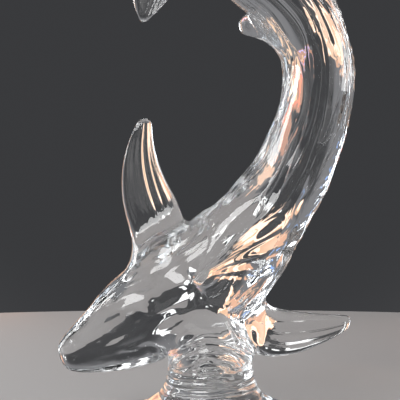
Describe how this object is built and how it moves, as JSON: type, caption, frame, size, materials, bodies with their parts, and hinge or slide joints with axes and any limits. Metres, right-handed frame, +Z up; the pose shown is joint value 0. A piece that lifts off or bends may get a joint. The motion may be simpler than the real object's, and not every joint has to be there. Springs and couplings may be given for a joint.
{
  "type": "glass shark sculpture",
  "caption": "Solid clear crystal shark diving nose down on a round foot, its body curled up and over to a forked tail, with broad swept side fins.",
  "frame": {"origin": "centre of the flat underside of the round foot", "axes": "+Z up, +X from the nose towards the body's curl, +Y from the shark's back to its belly, away from the viewer of the picture"},
  "size_m": [0.1854, 0.1256, 0.3402],
  "materials": {
    "clear_crystal": "fire-polished clear crystal, smooth and glossy, with faint drawn lines along the body and the fins"
  },
  "bodies": {
    "root": {"crystal_shark": "clear_crystal"}
  },
  "joints": []
}
